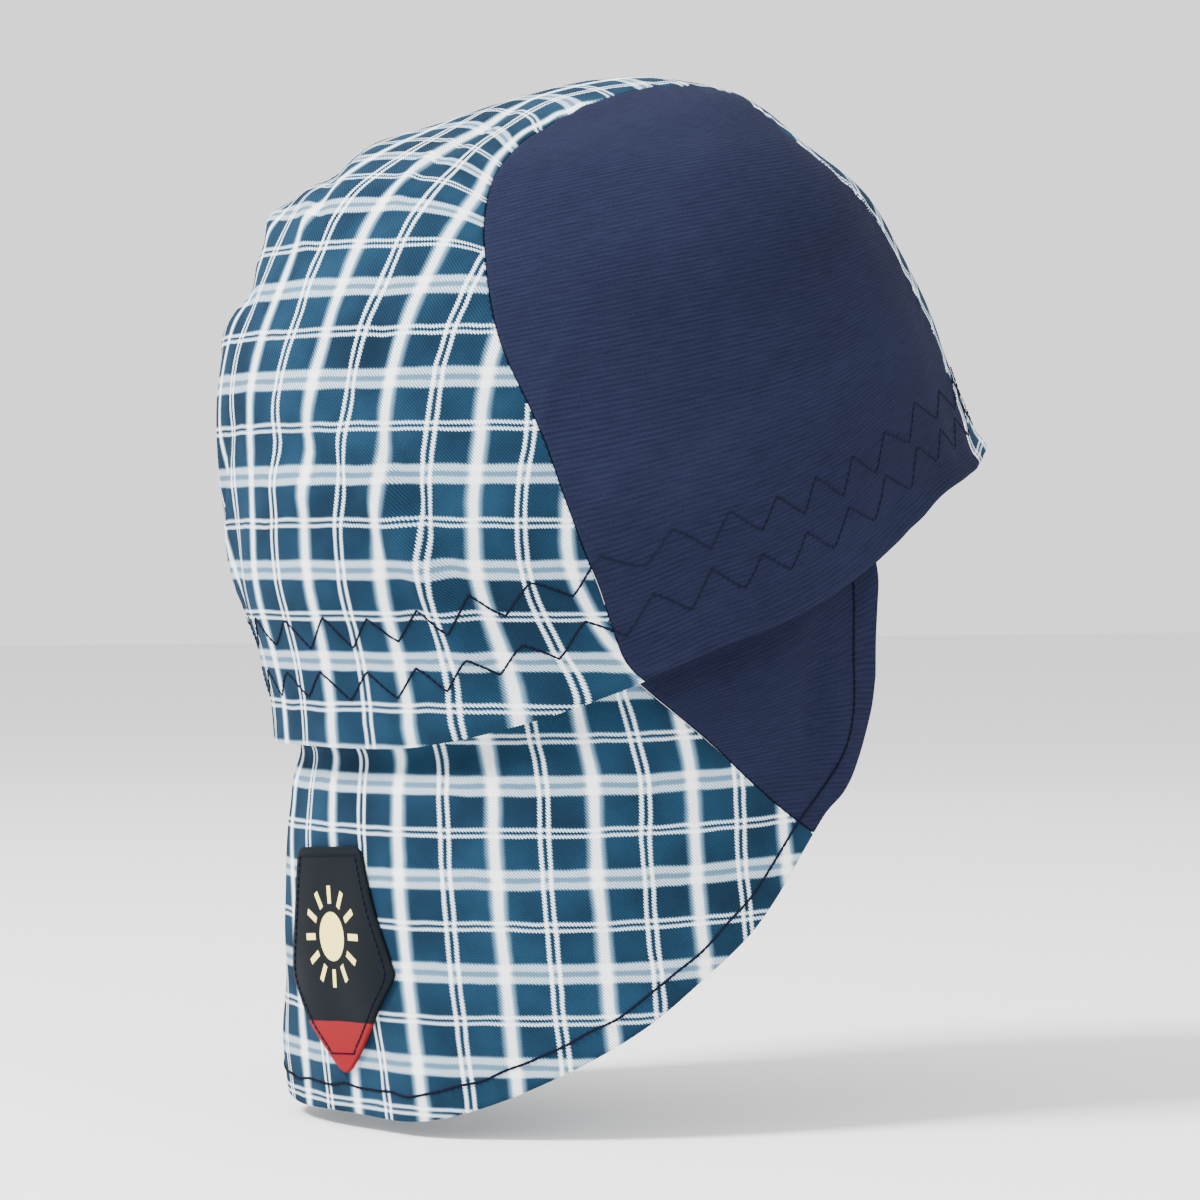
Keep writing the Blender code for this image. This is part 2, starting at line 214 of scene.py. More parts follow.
@dataclass(frozen=True)
class CapForm:
    """Sizes and surfaces of the whole cap: the part's own, and then what is too fine for it."""

    opening_width: float = 0.156
    opening_back: float = 0.097
    opening_front: float = 0.104
    rim_lift: float = 0.040
    crown_height: float = 0.138
    crown_cloth: float = 0.0014
    crown_fold: float = 0.0022
    flap_length: float = 0.0975
    flap_tuck: float = 0.020
    flap_reach: float = 109.0
    flap_cloth: float = 0.0019
    flap_fold: float = 0.0040
    flap_seam: float = 0.58
    tuck_gap: float = 0.0006

    # Unevenness, gathers, the rim's turned edge, and the groove that it presses into the flap
    crown_uneven: float = 0.22 * MM
    flap_uneven: float = 0.35 * MM
    shift_reach: float = 0.15
    seam_gathers: float = 0.22 * MM
    seam_gathers_reach: float = 0.05
    rim_gathers: float = 0.12 * MM
    rim_gathers_reach: float = 0.10
    rim_lip: float = 1.8 * MM
    rim_lip_reach: float = 0.022
    groove: float = 3.0 * MM
    groove_drop: float = 3.0 * MM
    groove_reach: float = 5.5 * MM

    # Rim height, as a share of its lift, at azimuths in degrees
    RIM = table(
        "azimuth height",
        (0, -0.98), (30, -0.95), (50, -0.76), (64, -0.55), (75, -0.35), (85, -0.20), (95, 0.00),
        (105, 0.24), (112, 0.43), (120, 0.63), (135, 0.81), (150, 0.97), (180, 1.03),
    )

    # Rings of the crown from its top to its rim: share of the climb, and shares of the
    # opening's half width, back and front
    RINGS = table(
        "ring climb width back front",
        (0.00, 1.000, 0.00, 0.00, 0.00), (0.08, 0.990, 0.19, 0.14, 0.11),
        (0.17, 0.965, 0.40, 0.32, 0.23), (0.30, 0.905, 0.63, 0.61, 0.34),
        (0.36, 0.860, 0.74, 0.80, 0.39), (0.42, 0.810, 0.85, 0.95, 0.44),
        (0.54, 0.680, 0.99, 1.10, 0.61), (0.65, 0.530, 1.05, 1.18, 0.72),
        (0.75, 0.380, 1.08, 1.17, 0.81), (0.84, 0.240, 1.08, 1.13, 0.87),
        (0.92, 0.120, 1.05, 1.06, 0.93), (1.00, 0.000, 1.00, 1.00, 1.00),
    )

    # The crown's seams, from the forehead over the top to the nape: half the centre panel's
    # width, as a share of the ring through that place
    SEAM = table(
        "place half",
        (-1.00, 0.66), (-0.80, 0.555), (-0.55, 0.43), (-0.30, 0.33), (-0.10, 0.19),
        (0.08, 0.17), (0.22, 0.23), (0.32, 0.32), (0.40, 0.40), (0.45, 0.48), (0.50, 0.58),
        (0.58, 0.68), (0.68, 0.76), (0.80, 0.82), (0.90, 0.86), (1.00, 0.90),
    )

    # Dents and puffs of the crown: place across and towards the back, reach across and along,
    # turn in degrees, share of crown_fold
    CROWN_FOLDS = table(
        "across back wide long turn depth",
        (-0.16, 0.30, 0.05, 0.16, 60, 1.0), (-0.30, 0.36, 0.05, 0.14, 55, 0.8),
        (-0.22, 0.42, 0.06, 0.20, 60, -0.8), (0.30, 0.62, 0.06, 0.24, 75, -0.7),
        (0.48, 0.70, 0.05, 0.20, 60, 0.6), (-0.20, 0.78, 0.05, 0.24, 95, -0.6),
        (0.55, -0.20, 0.12, 0.40, 15, -0.5), (-0.55, -0.10, 0.12, 0.40, -15, -0.5),
    )

    # Plan of the flap below the rim: drop, as a share of flap_length, and shares of the
    # opening inside the crown
    FLAP_PLAN = table(
        "drop width back front",
        (0.00, 1.000, 1.000, 1.00), (0.07, 0.985, 0.985, 0.97), (0.25, 0.980, 0.990, 0.95),
        (0.50, 0.985, 0.985, 0.93), (0.75, 1.000, 0.970, 0.91), (1.00, 1.020, 0.950, 0.89),
    )

    # Hem: share across the flap, its azimuth in degrees and its drop as a share of flap_length
    HEM = table(
        "share azimuth drop",
        (0.00, 0.0, 0.98), (0.14, 23.0, 0.978), (0.28, 46.0, 0.945), (0.42, 70.0, 0.878),
        (0.50, 83.0, 0.79), (0.58, 95.0, 0.635), (0.68, 101.5, 0.59), (0.78, 105.5, 0.535),
        (0.88, 108.0, 0.46), (1.00, 109.0, 0.37),
    )

    # Folds of the flap: azimuth and drop share, reach in degrees and in drop, share of flap_fold
    FLAP_FOLDS = table(
        "azimuth drop wide long depth",
        (3, 0.50, 11, 0.45, -0.50), (24, 0.55, 9, 0.50, 0.45), (-24, 0.60, 9, 0.50, 0.45),
        (10, 0.98, 12, 0.25, -0.50), (-34, 0.85, 10, 0.25, 1.00), (100, 0.12, 7, 0.22, -0.60),
        (-100, 0.12, 7, 0.22, -0.60), (-75, 0.70, 12, 0.40, 0.50),
    )

    def rim_height(self, azimuth: Grid) -> Grid:
        """Height of the rim at an azimuth in radians."""
        turned = np.degrees(np.arccos(np.cos(azimuth)))
        return self.rim_lift * read(self.RIM, "height", turned)

    def smooth_crown(self, across: Grid, back: Grid) -> Grid:
        """The crown before its dents, by shares of the ring: 0 at the top and 1 at the rim."""
        ring = np.hypot(across, back)
        azimuth = np.arctan2(across, back)
        climb, width, rear, fore = (
            read(self.RINGS, k, ring) for k in ("climb", "width", "back", "front")
        )
        past = np.maximum(ring - 1, 0)
        rim = self.rim_height(azimuth)
        height = rim + (self.crown_height - rim) * (climb - past)
        half = self.opening_width / 2 * width
        return oval(azimuth, half, self.opening_back * rear, self.opening_front * fore, height)

    def dented_crown(self, across: Grid, back: Grid) -> Grid:
        """The crown with its dents, as the part has it."""
        depth = self.crown_fold * dents(self.CROWN_FOLDS, across, back)
        out = normals(self.smooth_crown, across, back)
        return self.smooth_crown(across, back) + out * depth[..., None]

    def crown(self, across: Grid, back: Grid) -> Grid:
        """The crown's outer face with dents, fine creases and the cloth's unevenness."""
        depth = self.crown_uneven * ripple(across, back, 5, 14, 0.16)
        depth = depth + MM * dents(CROWN_CREASES, across, back) + self.pucker(across, back)
        out = normals(self.smooth_crown, across, back)
        return self.dented_crown(across, back) + out * depth[..., None]

    def hemmed_crown(self, across: Grid, back: Grid) -> Grid:
        """The crown with the slightly thicker edge that its turned rim has."""
        ring = np.hypot(across, back)
        out = normals(self.smooth_crown, across, back)
        lift = self.rim_lip * bell((1 - ring) / self.rim_lip_reach)
        return self.crown(across, back) + out * lift[..., None]

    def pucker(self, across: Grid, back: Grid) -> Grid:
        """Small gathers beside the crown's seams and at its rim, in waves of uneven length."""
        ring = np.hypot(across, back)
        place = back / np.sqrt(np.maximum(1 - across**2, 1e-6))
        aside = np.abs(np.abs(across) - read(self.SEAM, "half", np.clip(place, -1, 1)))
        gathers = np.sin(95 * place + 3 * np.sin(31 * place))
        seam = self.seam_gathers * gathers * bell(aside / self.seam_gathers_reach)
        turned = np.arctan2(across, back)
        ripples = np.sin(41 * turned + 2 * np.sin(13 * turned)) * self.rim_gathers
        return seam + ripples * bell((1 - ring) / self.rim_gathers_reach)

    def rise(self, across: Grid, back: Grid) -> Grid:
        """Length of the crown's cloth from the rim straight up to each place."""
        ring, azimuth = np.hypot(across, back), np.arctan2(across, back)
        rings = ring + (1 - ring) * np.linspace(0, 1, 24)[:, None, None]
        return run_length(self.smooth_crown(*on_ring(rings, azimuth)), 0)[-1]

    def ring_above(self, azimuth: Grid, above: Grid) -> Grid:
        """The crown's ring that lies a height above the rim."""
        rings = np.linspace(1, 0.5, 60)
        climbs = read(self.RINGS, "climb", rings)
        share = above / (self.crown_height - self.rim_height(azimuth))
        return np.interp(share, climbs, rings)

    def smooth_flap(self, azimuth: Grid, drop: Grid) -> Grid:
        """The flap before its folds: inside the crown, then hanging from the rim."""
        across, back = on_ring(self.ring_above(azimuth, np.maximum(-drop, 0)), azimuth)
        inside = self.crown_cloth + self.tuck_gap
        out = normals(self.dented_crown, across, back)
        tucked = self.crown(across, back) - out * inside
        share = np.maximum(drop, 0) / self.flap_length
        width, rear, fore = (read(self.FLAP_PLAN, k, share) for k in ("width", "back", "front"))
        hanging = oval(
            azimuth,
            (self.opening_width / 2 - inside) * width,
            (self.opening_back - inside) * rear,
            (self.opening_front - inside) * fore,
            self.rim_height(azimuth) - drop,
        )
        rim = on_ring(1.0, azimuth)
        shift = self.crown(*rim) - self.dented_crown(*rim)
        hanging = hanging + shift * bell(share / self.shift_reach)[..., None]
        return np.where((drop < 0)[..., None], tucked, hanging)

    def flap(self, azimuth: Grid, drop: Grid) -> Grid:
        """The flap's outer face with folds and creases, by azimuth and drop below the rim."""
        azimuth, drop = np.broadcast_arrays(azimuth, drop)
        share = np.maximum(drop, 0) / self.flap_length
        degrees = np.degrees(azimuth)
        depth = self.flap_uneven * ripple(azimuth * self.opening_width / 2, drop, 9, 14, 0.022)
        for turned, low, wide, long, deep in zip(*self.FLAP_FOLDS.values()):
            u = (degrees - turned) / wide
            v = (share - low) / long
            depth = depth + self.flap_fold * deep * np.exp(-(u**2) - v**2)
        for turned, low, wide, long, lean, deep in zip(*FLAP_CREASES.values()):
            u = (degrees - turned - lean * (drop - low)) / wide
            v = (drop - low) / long
            depth = depth + deep * MM * np.exp(-(u**2) - v**2)
        depth = depth * np.minimum(share / 0.1, 1)
        depth = depth - self.groove * bell((drop - self.groove_drop) / self.groove_reach)
        out = normals(self.smooth_flap, azimuth, drop)
        return self.smooth_flap(azimuth, drop) + out * depth[..., None]

    def flap_place(self, across: Grid, down: Grid) -> tuple[Grid, Grid]:
        """Azimuth and drop of a place on the flap.

        Args:
            across: share from the middle to a front edge, the wearer's right positive.
            down: share from the tucked edge to the hem.

        Returns:
            Azimuth in radians and drop below the rim.
        """
        reach = np.abs(across)
        hem_drop = self.flap_length * read(self.HEM, "drop", reach)
        drop = down * (hem_drop + self.flap_tuck) - self.flap_tuck
        top = self.flap_reach * reach
        hem = read(self.HEM, "azimuth", reach)
        turned = top + (hem - top) * np.maximum(drop, 0) / hem_drop
        return np.radians(np.sign(across) * turned), drop

    def edge_shift(self, curve: Callable[[Grid], Grid], value: Grid, gap: float) -> Grid:
        """How far a seam's parameter moves to leave a gap beside the seam.

        Args:
            curve: gives the seam's points from its parameter.
            value: the parameter, one for each point.
            gap: the distance wanted, in metres.

        Returns:
            The parameter's change at each point.
        """
        step = 1e-3
        run = unit(np.gradient(curve(value), axis=0))
        aside = (curve(value + step) - curve(value - step)) / (2 * step)
        return gap / np.linalg.norm(np.cross(aside, run), axis=-1)

    def seam_places(self, side: int, steps: int, gap: float) -> tuple[Grid, Grid]:
        """Places along the crown's seam from the forehead to the nape.

        Args:
            side: -1 beside the centre panel, 1 beside a side panel.
            steps: how many steps of equal length.
            gap: distance from the seam's line.

        Returns:
            Shares across and towards the back.
        """

        def curve(value: Grid) -> Grid:
            """Points of the seam for a half width."""
            return self.smooth_crown(value, place * np.sqrt(1 - value**2))

        place = np.linspace(-1, 1, 600)
        place = 2 * even_steps(curve(read(self.SEAM, "half", place)), steps + 1) - 1
        half = read(self.SEAM, "half", place)
        half = half + side * self.edge_shift(curve, half, gap)
        return half, place * np.sqrt(1 - half**2)


FORM = CapForm()


def operator(operation: str, swapped: bool = False) -> Callable:
    """A Socket's method that adds one Math node.

    Args:
        operation: what the node does.
        swapped: whether the other value comes first.

    Returns:
        The method, from two values to a Socket.
    """

    def apply(self: "Socket", other: "Value" = 0.0) -> "Socket":
        """The Math node's result."""
        first, second = (other, self) if swapped else (self, other)
        return self.finish.node(
            "ShaderNodeMath", {"operation": operation}, {0: first, 1: second}
        )

    return apply


class Socket:
    """A shader value that expressions can be written with."""

    __add__ = operator("ADD")
    __radd__ = operator("ADD", swapped=True)
    __sub__ = operator("SUBTRACT")
    __rsub__ = operator("SUBTRACT", swapped=True)
    __mul__ = operator("MULTIPLY")
    __rmul__ = operator("MULTIPLY", swapped=True)
    __truediv__ = operator("DIVIDE")
    abs = operator("ABSOLUTE")
    sin = operator("SINE")
    fract = operator("FRACT")
    floor = operator("FLOOR")
    larger = operator("MAXIMUM")
    turn_from = operator("ARCTAN2")

    def __init__(self, finish: "Finish", socket: bpy.types.NodeSocket) -> None:
        """Wrap a node's output."""
        self.finish = finish
        self.socket = socket

    def rise(self, start: float, end: float) -> "Socket":
        """A smooth step from 0 at start to 1 at end; start may be the larger."""
        sockets = {"Value": self, "From Min": start, "From Max": end}
        if start > end:
            sockets.update({"From Min": end, "From Max": start, "To Min": 1.0, "To Max": 0.0})
        return self.finish.node(
            "ShaderNodeMapRange", {"interpolation_type": "SMOOTHSTEP"}, sockets
        )

    def within(self, half: float, soft: float) -> "Socket":
        """1 below a value and 0 above it, with a soft edge."""
        return self.rise(half + soft, half - soft)

    def beat(self, period: float, start: float = 0.0) -> "Socket":
        """Distance to the nearest of lines that repeat with a period, one of them at start."""
        place = (self - (start - period / 2)) / period
        return (place.fract() - 0.5).abs() * period


Value = Socket | float
Colour = tuple[float, float, float]


@dataclass
class Finish:
    """A material under construction."""

    name: str
    roughness: float = 0.9
    base: Colour = (0.5, 0.5, 0.5)

    def __post_init__(self) -> None:
        """Start the material with a plain cloth shader."""
        self.material = bpy.data.materials.new(self.name)
        self.material.use_nodes = True
        self.tree = self.material.node_tree
        self.shader = self.tree.nodes["Principled BSDF"]
        self.shader.inputs["Roughness"].default_value = self.roughness
        self.shader.inputs["Base Color"].default_value = (*self.base, 1)
        self.shader.inputs["Specular IOR Level"].default_value = 0.06

    def node(self, kind: str, settings: dict, sockets: dict, output: int | str = 0) -> Socket:
        """Add a node.

        Args:
            kind: the node's type.
            settings: its properties, set first.
            sockets: values or links, by input name or number.
            output: the output that is wanted.

        Returns:
            That output.
        """
        made = self.tree.nodes.new(kind)
        for name, value in settings.items():
            setattr(made, name, value)
        for name, value in sockets.items():
            if isinstance(value, Socket):
                self.tree.links.new(value.socket, made.inputs[name])
            else:
                made.inputs[name].default_value = value
        return Socket(self, made.outputs[output])

    def cloth_places(self) -> tuple[Socket, Socket]:
        """The cloth's own coordinates, in metres."""
        place = self.node("ShaderNodeUVMap", {"uv_map": "Cloth"}, {})
        parts = self.tree.nodes.new("ShaderNodeSeparateXYZ")
        self.tree.links.new(place.socket, parts.inputs[0])
        return Socket(self, parts.outputs[0]), Socket(self, parts.outputs[1])

    def noise(self, across: Value, along: Value, detail: float = 2.0) -> Socket:
        """Smooth noise, 0 to 1, over two coordinates."""
        place = self.node("ShaderNodeCombineXYZ", {}, {0: across, 1: along})
        return self.node(
            "ShaderNodeTexNoise",
            {"noise_dimensions": "2D"},
            {"Vector": place, "Scale": 1.0, "Detail": detail},
        )

    def mix(self, factor: Value, first: "Socket | Colour", second: "Socket | Colour") -> Socket:
        """A colour between two others."""
        sockets = {0: factor}
        for at, value in ((6, first), (7, second)):
            sockets[at] = value if isinstance(value, Socket) else (*value, 1)
        return self.node("ShaderNodeMix", {"data_type": "RGBA"}, sockets, 2)

    def paint(self, colour: Socket) -> None:
        """Give the shader its colour."""
        self.tree.links.new(colour.socket, self.shader.inputs["Base Color"])

    def emboss(self, height: Socket, distance: float, strength: float = 1.0) -> None:
        """Raise the surface by a height of 0 to 1."""
        bump = self.node(
            "ShaderNodeBump", {}, {"Strength": strength, "Distance": distance, "Height": height}
        )
        self.tree.links.new(bump.socket, self.shader.inputs["Normal"])


def srgb(red: int, green: int, blue: int) -> Colour:
    """A colour as light, from the numbers that a screen shows."""
    return tuple(
        c / 12.92 if c <= 0.04045 else ((c + 0.055) / 1.055) ** 2.4
        for c in (red / 255, green / 255, blue / 255)
    )


@dataclass(frozen=True)
class PlaidTwill:
    """Teal cotton twill with a woven plaid of white and pale blue lines."""

    name: str
    across: float
    down: float
    first_line: float
    first_band: float
    ground: Colour = srgb(26, 53, 74)
    shade: Colour = srgb(13, 30, 45)
    white: Colour = srgb(250, 252, 252)
    pale: Colour = srgb(122, 160, 186)
    twill: float = 0.85 * MM
    wobble: float = 0.9 * MM
    fray: float = 0.34 * MM
    soft: float = 0.28 * MM
    line_core: tuple[float, float] = (1.9 * MM, 0.7 * MM)
    line_edge: tuple[float, float] = (2.9 * MM, 1.4 * MM)
    twin_aside: float = 1.08 * MM
    twin_half: float = 0.52 * MM
    band_half: float = 2.5 * MM
    band_middle: tuple[float, float] = (0.85 * MM, 0.45 * MM)
    pair_aside: float = 0.82 * MM
    pair_half: float = 0.42 * MM

    def build(self) -> bpy.types.Material:
        """The material, read from the cloth's own coordinates."""
        f = Finish(self.name)
        u, v = f.cloth_places()
        wobble = (f.noise(u * 90, v * 90) - 0.5) * self.wobble
        diagonal = ((u - v) / self.twill).fract()
        weave = ((diagonal - 0.5).abs() * 2).rise(0.25, 0.75)
        fray = (weave - 0.5) * self.fray + wobble
        line = (u + fray).beat(self.across, self.first_line)
        band = (v + fray).beat(self.down, self.first_band)
        core = line.rise(*self.line_core)
        edge = line.rise(*self.line_edge)
        twin = (line - (self.across / 2 - self.twin_aside)).abs()
        twin = twin.within(self.twin_half, self.soft / 2)
        broad = band.within(self.band_half, self.soft)
        middle = band.rise(*self.band_middle)
        pair = (band - (self.down / 2 - self.pair_aside)).abs()
        pair = pair.within(self.pair_half, self.soft / 2)

        warp = (edge * 0.56 + core * 0.44).larger(twin * 0.93)
        weft = (broad * 0.82 - middle * broad * 0.34).larger(pair * 0.90)
        warp = warp * (0.80 + weave * 0.20)
        weft = weft * (1.0 - weave * 0.26)
        light = 1 - (1 - warp) * (1 - weft)
        tone = f.noise(u * 45, v * 45, 4.0)
        tone = (tone + (weave - 0.5) * 0.24).rise(0.15, 0.85)
        cloth = f.mix(tone, self.shade, self.ground)
        tint = light.rise(0.55, 1.0)
        lines = f.mix(tint, self.pale, self.white)
        f.paint(f.mix(light, cloth, lines))
        f.emboss(weave, 0.00012, 0.6)
        return f.material


@dataclass(frozen=True)
class NavyTwill:
    """Navy cotton with fine crosswise ribs of short threads."""

    name: str
    rib: float = 1.15 * MM
    dash: float = 0.75 * MM
    dark: Colour = srgb(16, 19, 36)
    light: Colour = srgb(32, 36, 58)

    def build(self) -> bpy.types.Material:
        """The material, read from the cloth's own coordinates."""
        f = Finish(self.name)
        u, v = f.cloth_places()
        drift = (f.noise(u * 25, v * 60) - 0.5) * (1.1 * MM)
        rows = (v + drift) / self.rib
        ridge = ((rows.fract() - 0.5).abs() * 2).rise(0.85, 0.25)
        jump = (rows.floor() * 12.9898).sin() * 43.7
        dashes = (u / self.dash + jump).fract()
        dashes = ((dashes - 0.5).abs() * 2).rise(0.95, 0.35)
        mark = ridge * (0.55 + dashes * 0.45)
        streak = f.noise(u * 160, (v + drift) * 1500, 2.0)
        wear = f.noise(u * 22, v * 30, 4.0)
        threads = f.noise(u * 1500, v * 3000, 1.0)
        amount = mark * 0.20 + streak * 0.40 + wear * 0.34 + threads * 0.28 - 0.16
        f.paint(f.mix(amount.rise(0.0, 0.95), self.dark, self.light))
        f.emboss(mark, 0.00010, 0.3)
        return f.material


@dataclass(frozen=True)
class Thread:
    """Sewing thread."""

    name: str
    colour: Colour

    def build(self) -> bpy.types.Material:
        """The material."""
        return Finish(self.name, 0.7, self.colour).material


@dataclass(frozen=True)
class PatchPrint:
    """The patch: black, with a plain pale disc and short rays, and a plain red tip."""

    name: str
    tip: float = 44.8 * MM
    black: Colour = srgb(11, 16, 21)
    red: Colour = srgb(118, 23, 28)
    yellow: Colour = srgb(247, 230, 138)
    centre: float = 23 * MM
    disc: float = 6.4 * MM
    rays: int = 12
    ray_start: float = 8.6 * MM
    ray_end: float = 13.2 * MM
    ray_half: float = 0.85 * MM

    def build(self) -> bpy.types.Material:
        """The material, read from the patch's own coordinates."""
        f = Finish(self.name, 0.62)
        x, y = f.cloth_places()
        fine = 0.12 * MM
        below = y - self.centre
        reach = f.node(
            "ShaderNodeVectorMath",
            {"operation": "LENGTH"},
            {0: f.node("ShaderNodeCombineXYZ", {}, {0: x, 1: below})},
            1,
        )
        turned = x.turn_from(below)
        step = 2 * math.pi / self.rays
        swing = turned.beat(step) * reach
        ray = swing.within(self.ray_half, fine)
        ray = ray * reach.rise(self.ray_start - fine, self.ray_start + fine)
        ray = ray * reach.within(self.ray_end, fine)
        disc = reach.within(self.disc, fine)
        ground = f.mix(y.rise(self.tip - fine, self.tip + fine), self.black, self.red)
        f.paint(f.mix(disc.larger(ray), ground, self.yellow))
        grain = f.noise(x * 2200, y * 2200, 2.0)
        f.emboss(grain, 0.00008, 0.5)
        return f.material


def band_faces(near: Grid, far: Grid) -> list[list[int]]:
    """Faces between two closed rings, from the numbers of their points."""
    return np.stack([np.roll(near, -1), near, far, np.roll(far, -1)], -1).tolist()


def cloth_object(
    name: str, points: Grid, faces: list[list[int]], finish: bpy.types.Material
) -> bpy.types.Object:
    """A new smooth object that rides on the cap, from its points and faces."""
    mesh = bpy.data.meshes.new(name)
    mesh.from_pydata(points.tolist(), [], faces)
    mesh.materials.append(finish)
    mesh.shade_smooth()
    made = bpy.data.objects.new(name, mesh)
    bpy.context.scene.collection.objects.link(made)
    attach(made, BODY)
    LOG.info("%s: %d faces", name, len(faces))
    return made


@dataclass
class Sheet:
    """One closed sheet of cloth, with rolled edges."""

    name: str
    outer: Grid
    normal: Grid
    places: Grid
    thickness: float
    roll: float
    finish: bpy.types.Material
    segments: int = 4

    def build(self) -> bpy.types.Object:
        """Make the mesh: an outer face, an inner face, and a round edge between them.

        Returns:
            The new object, which rides on the cap.
        """
        points, index = self.merge()
        flat_normals = np.zeros_like(points)
        flat_places = np.zeros((len(points), 2))
        flat_normals[index.ravel()] = self.normal.reshape(-1, 3)
        flat_places[index.ravel()] = self.places.reshape(-1, 2)
        corners = (index[:-1, :-1], index[1:, :-1], index[1:, 1:], index[:-1, 1:])
        faces = [list(dict.fromkeys(q)) for q in np.stack(corners, -1).reshape(-1, 4).tolist()]
        faces = [face for face in faces if len(face) > 2]
        count = len(points)
        faces += [[k + count for k in reversed(face)] for face in faces]
        loop = self.border(index)
        edge = points[loop]
        run = unit(np.roll(edge, -1, 0) - np.roll(edge, 1, 0))
        out = flat_normals[loop]
        aside = unit(np.cross(run, out))
        rings = [loop]
        body = [points, points - flat_normals * self.thickness]
        places = [flat_places, flat_places]
        for k in range(1, self.segments):
            turn = math.pi * k / self.segments
            depth = self.thickness / 2 * (1 - math.cos(turn))
            rings.append(np.arange(len(loop)) + sum(len(part) for part in body))
            body.append(edge - out * depth + aside * self.roll * math.sin(turn))
            places.append(flat_places[loop])
        rings.append(loop + count)
        for near, far in zip(rings, rings[1:]):
            faces += band_faces(near, far)
        return self.object(np.concatenate(body), faces, np.concatenate(places))

    def merge(self) -> tuple[Grid, Grid]:
        """The grid's different points, and each grid place's number among them."""
        flat = self.outer.reshape(-1, 3)
        numbers: dict[tuple[float, ...], int] = {}
        index = np.array(
            [numbers.setdefault(tuple(p), len(numbers)) for p in np.round(flat, 7).tolist()]
        )
        points = np.zeros((len(numbers), 3))
        points[index] = flat
        return points, index.reshape(self.outer.shape[:2])

    def border(self, index: Grid) -> Grid:
        """Numbers of the points round the sheet, each once."""
        walk = np.concatenate(
            [index[:, 0], index[-1, 1:], index[-2::-1, -1], index[0, -2:0:-1]]
        )
        keep = walk != np.roll(walk, 1)
        return walk[keep]

    def object(self, points: Grid, faces: list, places: Grid) -> bpy.types.Object:
        """The object with the cloth's own coordinates."""
        made = cloth_object(self.name, points, faces, self.finish)
        layer = made.data.uv_layers.new(name="Cloth")
        corners = np.zeros(len(made.data.loops), int)
        made.data.loops.foreach_get("vertex_index", corners)
        layer.data.foreach_set("uv", places[corners].astype(np.float32).ravel())
        return made


@dataclass
class Stitching:
    """A line of thread laid on the cloth."""

    name: str
    points: Grid
    normal: Grid
    finish: bpy.types.Material
    slot: str
    radius: float = 0.36 * MM
    sides: int = 6
    stitch: float = 1.9 * MM
    sunk: float = 0.30 * MM

    def build(self) -> bpy.types.Object:
        """Make a tube along the line, half sunk in the cloth.

        Returns:
            The new object, which rides on the cap.
        """
        run = unit(np.gradient(self.points, axis=0))
        out = unit(self.normal - run * np.sum(self.normal * run, -1, keepdims=True))
        aside = np.cross(run, out)
        beat = np.abs(np.sin(math.pi * run_length(self.points, 0) / self.stitch))
        lift = 1.4 * self.sunk * np.sqrt(beat) - self.sunk
        turn = np.linspace(0, 2 * math.pi, self.sides, endpoint=False)
        ring = (
            (self.points + out * lift[:, None])[:, None]
            + aside[:, None] * (np.cos(turn) * self.radius)[None, :, None]
            + out[:, None] * (np.sin(turn) * self.radius)[None, :, None]
        )
        rings = np.arange(len(self.points) * self.sides).reshape(-1, self.sides)
        faces = [rings[0].tolist(), rings[-1, ::-1].tolist()]
        for near, far in zip(rings, rings[1:]):
            faces += band_faces(near, far)
        made = cloth_object(self.name, ring.reshape(-1, 3), faces, self.finish)
        return made


